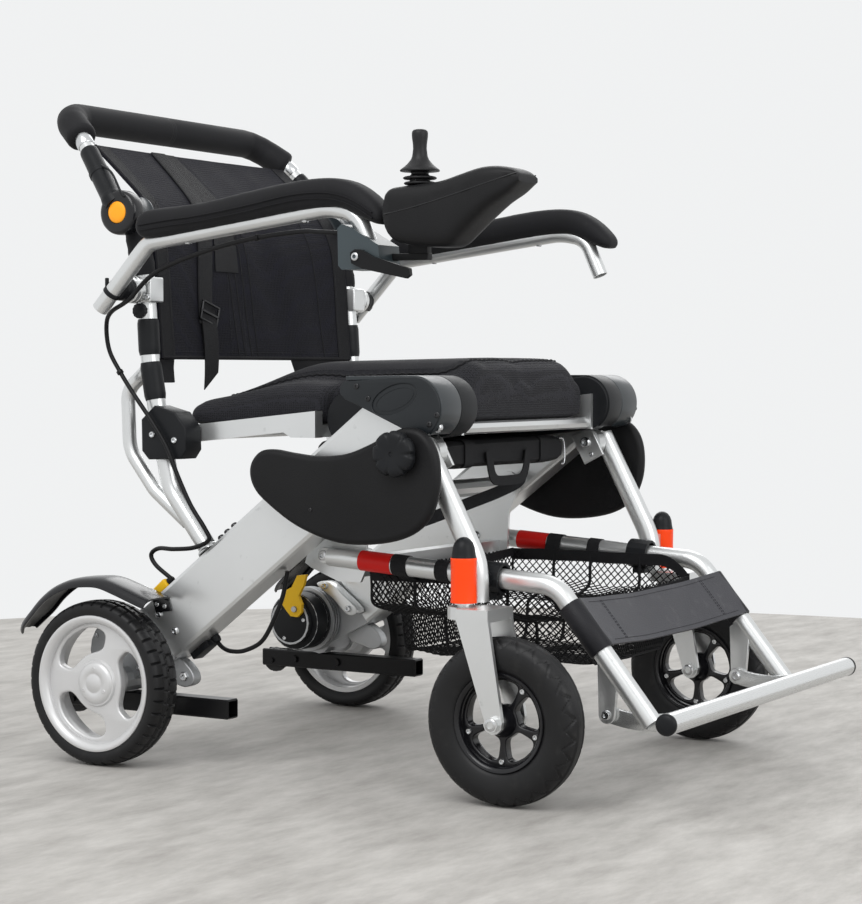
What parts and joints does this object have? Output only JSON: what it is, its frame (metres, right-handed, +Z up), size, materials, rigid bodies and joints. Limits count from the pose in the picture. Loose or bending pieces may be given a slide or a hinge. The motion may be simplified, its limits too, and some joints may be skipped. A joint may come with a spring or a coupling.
{
  "type": "folding power wheelchair",
  "caption": "Folding power wheelchair with box-tube frame, drive wheels on geared motors, front casters, padded seat, mesh back, flip-up armrests, joystick, footrest and storage basket.",
  "frame": {"origin": "middle of the bounding box at floor level, under the chair", "axes": "+Z up, -Y the way the chair faces, -X the side with the joystick"},
  "size_m": [0.68, 0.979, 0.8965],
  "materials": {
    "satin_aluminium": "satin",
    "cast_aluminium": "cast",
    "rim_silver": "silver paint",
    "steel": "bright",
    "black_plastic": "fine grain",
    "black_tyre": "matt",
    "cable_rubber": "matt",
    "mesh_fabric": "woven",
    "foam_grip": "closed-cell foam",
    "leatherette": "grained",
    "orange_plastic": "gloss",
    "orange_sleeve": "gloss",
    "yellow_plastic": "gloss"
  },
  "bodies": {
    "chassis": {"battery_tube_right": "satin_aluminium", "battery_tube_left": "satin_aluminium", "hinge_cover_right": "black_plastic", "hinge_cover_left": "black_plastic", "cross_frame": "satin_aluminium", "drive_unit_right": "cast_aluminium", "drive_unit_left": "cast_aluminium", "antitip_arm_right": "black_plastic", "antitip_arm_left": "black_plastic", "mudguard_right": "black_plastic", "mudguard_left": "black_plastic", "side_guard_right": "black_plastic", "side_guard_left": "black_plastic", "motor_cable": "cable_rubber"},
    "rear_wheel_right": {"rear_tyre_right": "black_tyre", "rear_rim_right": "rim_silver"},
    "rear_wheel_left": {"rear_tyre_left": "black_tyre", "rear_rim_left": "rim_silver"},
    "antitip_roller_right": {"antitip_roller_right": "black_tyre"},
    "antitip_roller_left": {"antitip_roller_left": "black_tyre"},
    "freewheel_right": {"freewheel_lever_right": "yellow_plastic"},
    "freewheel_left": {"freewheel_lever_left": "yellow_plastic"},
    "guard_knob_right": {"guard_knob_right": "black_plastic"},
    "guard_knob_left": {"guard_knob_left": "black_plastic"},
    "front_leg_right": {"front_leg_right": "satin_aluminium", "stem_cover_right": "orange_sleeve"},
    "front_leg_left": {"front_leg_left": "satin_aluminium", "stem_cover_left": "orange_sleeve"},
    "caster_fork_right": {"caster_fork_right": "satin_aluminium"},
    "caster_fork_left": {"caster_fork_left": "satin_aluminium"},
    "caster_wheel_right": {"caster_tyre_right": "black_tyre", "caster_rim_right": "black_plastic"},
    "caster_wheel_left": {"caster_tyre_left": "black_tyre", "caster_rim_left": "black_plastic"},
    "leg_clamp_right": {"leg_clamp_right": "black_plastic"},
    "leg_clamp_left": {"leg_clamp_left": "black_plastic"},
    "footrest": {"footrest_tube_right": "satin_aluminium", "footrest_tube_left": "satin_aluminium", "calf_strap": "leatherette", "storage_basket": "mesh_fabric"},
    "foot_bar": {"foot_bar": "satin_aluminium"},
    "seat": {"seat_frame": "satin_aluminium", "seat_cushion": "mesh_fabric", "seat_tray": "mesh_fabric"},
    "backrest": {"back_post_right": "satin_aluminium", "back_post_left": "satin_aluminium", "back_canvas": "mesh_fabric", "joystick_cable": "cable_rubber"},
    "push_handle": {"push_handle": "foam_grip"},
    "release_button_right": {"release_button_right": "orange_plastic"},
    "release_button_left": {"release_button_left": "orange_plastic"},
    "armrest_right": {"armrest_tube_right": "satin_aluminium", "armrest_pad_right": "foam_grip", "joystick_bracket": "black_plastic"},
    "armrest_left": {"armrest_tube_left": "satin_aluminium", "armrest_pad_left": "foam_grip"},
    "joystick": {"joystick_housing": "black_plastic"},
    "gimbal": {"joystick_gimbal": "steel"},
    "stick": {"joystick_stick": "black_plastic"},
    "bracket_lever": {"bracket_lever": "black_plastic"}
  },
  "joints": [
    {"name": "rear_wheel_right_spin", "type": "hinge", "parent": "chassis", "child": "rear_wheel_right", "pos_m": [-0.305, 0.348, 0.11], "axis": [1, 0, 0], "continuous": true},
    {"name": "rear_wheel_left_spin", "type": "hinge", "parent": "chassis", "child": "rear_wheel_left", "pos_m": [0.305, 0.348, 0.11], "axis": [1, 0, 0], "continuous": true},
    {"name": "antitip_roller_right_spin", "type": "hinge", "parent": "chassis", "child": "antitip_roller_right", "pos_m": [-0.24, 0.443, 0.0735], "axis": [1, 0, 0], "continuous": true},
    {"name": "antitip_roller_left_spin", "type": "hinge", "parent": "chassis", "child": "antitip_roller_left", "pos_m": [0.24, 0.443, 0.0735], "axis": [1, 0, 0], "continuous": true},
    {"name": "freewheel_lever_right_turn", "type": "hinge", "parent": "chassis", "child": "freewheel_right", "pos_m": [-0.152, 0.345, 0.166], "axis": [1, 0, 0], "range_deg": [0, 60]},
    {"name": "freewheel_lever_left_turn", "type": "hinge", "parent": "chassis", "child": "freewheel_left", "pos_m": [0.152, 0.345, 0.166], "axis": [1, 0, 0], "range_deg": [0, 60]},
    {"name": "guard_knob_right_turn", "type": "hinge", "parent": "chassis", "child": "guard_knob_right", "pos_m": [-0.3, -0.112, 0.423], "axis": [1, 0, 0], "continuous": true},
    {"name": "guard_knob_left_turn", "type": "hinge", "parent": "chassis", "child": "guard_knob_left", "pos_m": [0.3, -0.112, 0.423], "axis": [1, 0, 0], "continuous": true},
    {"name": "front_leg_right_fold", "type": "hinge", "parent": "chassis", "child": "front_leg_right", "pos_m": [-0.2505, -0.112, 0.423], "axis": [1, 0, 0], "range_deg": [0, 40]},
    {"name": "front_leg_left_fold", "type": "hinge", "parent": "chassis", "child": "front_leg_left", "pos_m": [0.2505, -0.112, 0.423], "axis": [1, 0, 0], "range_deg": [0, 40]},
    {"name": "caster_right_swivel", "type": "hinge", "parent": "front_leg_right", "child": "caster_fork_right", "pos_m": [-0.287, -0.196, 0.2385], "axis": [0, 0, 1], "continuous": true},
    {"name": "caster_left_swivel", "type": "hinge", "parent": "front_leg_left", "child": "caster_fork_left", "pos_m": [0.287, -0.196, 0.2385], "axis": [0, 0, 1], "continuous": true},
    {"name": "caster_right_spin", "type": "hinge", "parent": "caster_fork_right", "child": "caster_wheel_right", "pos_m": [-0.287, -0.254, 0.1028], "axis": [1, 0, 0], "continuous": true},
    {"name": "caster_left_spin", "type": "hinge", "parent": "caster_fork_left", "child": "caster_wheel_left", "pos_m": [0.287, -0.254, 0.1028], "axis": [1, 0, 0], "continuous": true},
    {"name": "leg_clamp_right_turn", "type": "hinge", "parent": "front_leg_right", "child": "leg_clamp_right", "pos_m": [-0.214, -0.197, 0.2679], "axis": [1, 0, 0], "range_deg": [-28, 0]},
    {"name": "leg_clamp_left_turn", "type": "hinge", "parent": "front_leg_left", "child": "leg_clamp_left", "pos_m": [0.214, -0.197, 0.2679], "axis": [1, 0, 0], "range_deg": [-28, 0]},
    {"name": "footrest_fold", "type": "hinge", "parent": "chassis", "child": "footrest", "pos_m": [0, 0.056, 0.285], "axis": [1, 0, 0], "range_deg": [0, 12]},
    {"name": "foot_bar_flip", "type": "hinge", "parent": "footrest", "child": "foot_bar", "pos_m": [0, -0.35, 0.107], "axis": [-1, 0, 0], "range_deg": [0, 76]},
    {"name": "seat_tilt", "type": "hinge", "parent": "chassis", "child": "seat", "pos_m": [0, -0.093, 0.48], "axis": [1, 0, 0], "range_deg": [-4.5, 0]},
    {"name": "backrest_fold", "type": "hinge", "parent": "seat", "child": "backrest", "pos_m": [0, 0.2925, 0.44], "axis": [1, 0, 0], "range_deg": [0, 75], "deforming": ["joystick_cable"]},
    {"name": "push_handle_fold", "type": "hinge", "parent": "backrest", "child": "push_handle", "pos_m": [0, 0.336, 0.7355], "axis": [-1, 0, 0], "range_deg": [0, 110], "deforming": ["back_canvas"]},
    {"name": "release_button_right_press", "type": "slide", "parent": "push_handle", "child": "release_button_right", "axis": [1, 0, 0], "range_m": [0, 0.003], "stiffness_N_per_m": 800},
    {"name": "release_button_left_press", "type": "slide", "parent": "push_handle", "child": "release_button_left", "axis": [-1, 0, 0], "range_m": [0, 0.003], "stiffness_N_per_m": 800},
    {"name": "armrest_right_flip", "type": "hinge", "parent": "backrest", "child": "armrest_right", "pos_m": [-0.312, 0.318, 0.633], "axis": [-1, 0, 0], "range_deg": [0, 90]},
    {"name": "armrest_left_flip", "type": "hinge", "parent": "backrest", "child": "armrest_left", "pos_m": [0.312, 0.318, 0.633], "axis": [-1, 0, 0], "range_deg": [0, 90]},
    {"name": "joystick_slide", "type": "slide", "parent": "armrest_right", "child": "joystick", "axis": [0, -1, 0], "range_m": [0, 0.04]},
    {"name": "joystick_pitch", "type": "hinge", "parent": "joystick", "child": "gimbal", "pos_m": [-0.312, -0.149, 0.7535], "axis": [1, 0, 0], "range_deg": [-15, 15], "stiffness_Nm_per_rad": 0.4},
    {"name": "joystick_roll", "type": "hinge", "parent": "gimbal", "child": "stick", "pos_m": [-0.312, -0.149, 0.7535], "axis": [0, 1, 0], "range_deg": [-15, 15], "stiffness_Nm_per_rad": 0.4},
    {"name": "bracket_lever_turn", "type": "hinge", "parent": "armrest_right", "child": "bracket_lever", "pos_m": [-0.3275, -0.07, 0.664], "axis": [1, 0, 0], "range_deg": [0, 60]}
  ],
  "couplings": [
    {"joint": "front_leg_left_fold", "follows": "front_leg_right_fold", "ratio": 1},
    {"joint": "leg_clamp_right_turn", "follows": "front_leg_right_fold", "ratio": -0.7},
    {"joint": "leg_clamp_left_turn", "follows": "front_leg_right_fold", "ratio": -0.7},
    {"joint": "footrest_fold", "follows": "front_leg_right_fold", "ratio": 0.3},
    {"joint": "seat_tilt", "follows": "backrest_fold", "ratio": -0.06},
    {"joint": "armrest_right_flip", "follows": "backrest_fold", "ratio": 1.2},
    {"joint": "armrest_left_flip", "follows": "backrest_fold", "ratio": 1.2}
  ]
}
